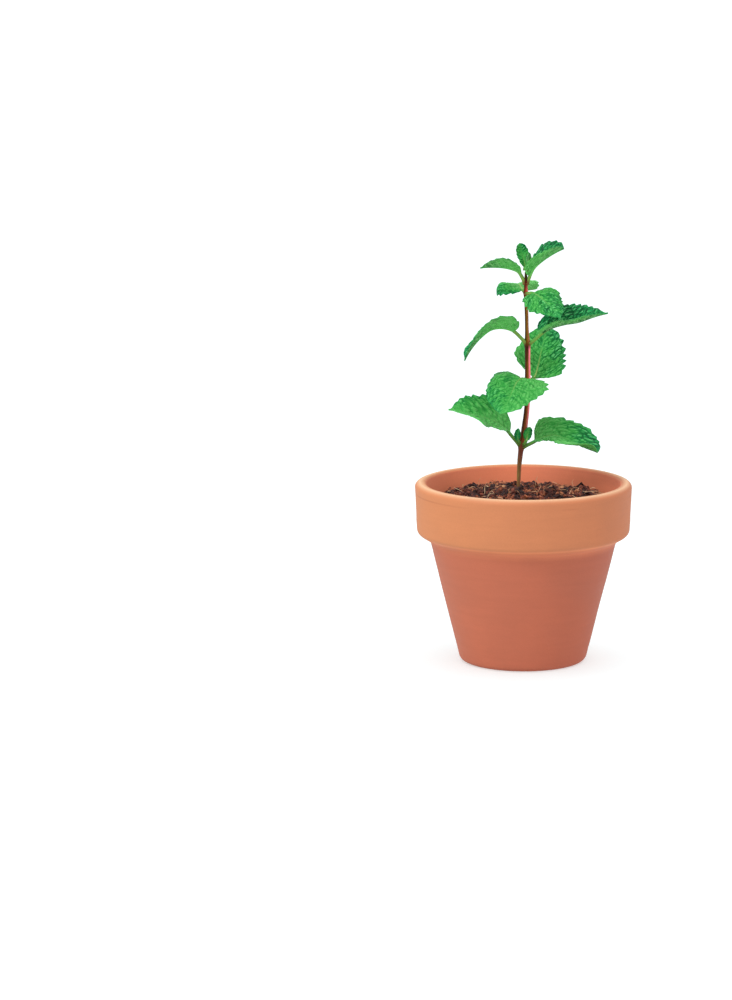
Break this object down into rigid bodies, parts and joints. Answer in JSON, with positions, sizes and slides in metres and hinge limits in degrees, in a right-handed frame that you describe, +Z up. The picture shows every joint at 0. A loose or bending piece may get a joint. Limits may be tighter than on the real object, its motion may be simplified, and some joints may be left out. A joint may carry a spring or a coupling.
{
  "type": "potted mint",
  "caption": "Young mint plant with serrated leaves in crossed pairs on a thin stem, standing in a tapered terracotta pot filled with bark and coir mix.",
  "frame": {"origin": "pot's axis at the surface the pot stands on", "axes": "+Z up along the pot's axis, +X to the viewer's right, +Y away from the viewer"},
  "size_m": [0.085, 0.085, 0.1651],
  "materials": {
    "terracotta": "matte",
    "soil": "matte",
    "stem": "satin",
    "leaf": "satin",
    "young_leaf": "satin"
  },
  "bodies": {
    "root": {"pot": "terracotta", "soil": "soil", "stem": "stem", "leaf_1_left": "leaf", "leaf_1_right": "leaf", "leaf_2_front": "leaf", "leaf_2_back": "leaf", "leaf_3_left": "leaf", "leaf_3_right": "leaf", "leaf_4_front": "leaf", "leaf_4_back": "leaf", "leaf_5_left": "leaf", "leaf_5_right": "leaf", "leaf_6_back": "young_leaf", "leaf_6_front": "young_leaf", "axil_leaf_left": "young_leaf", "axil_leaf_right": "young_leaf"}
  },
  "joints": []
}
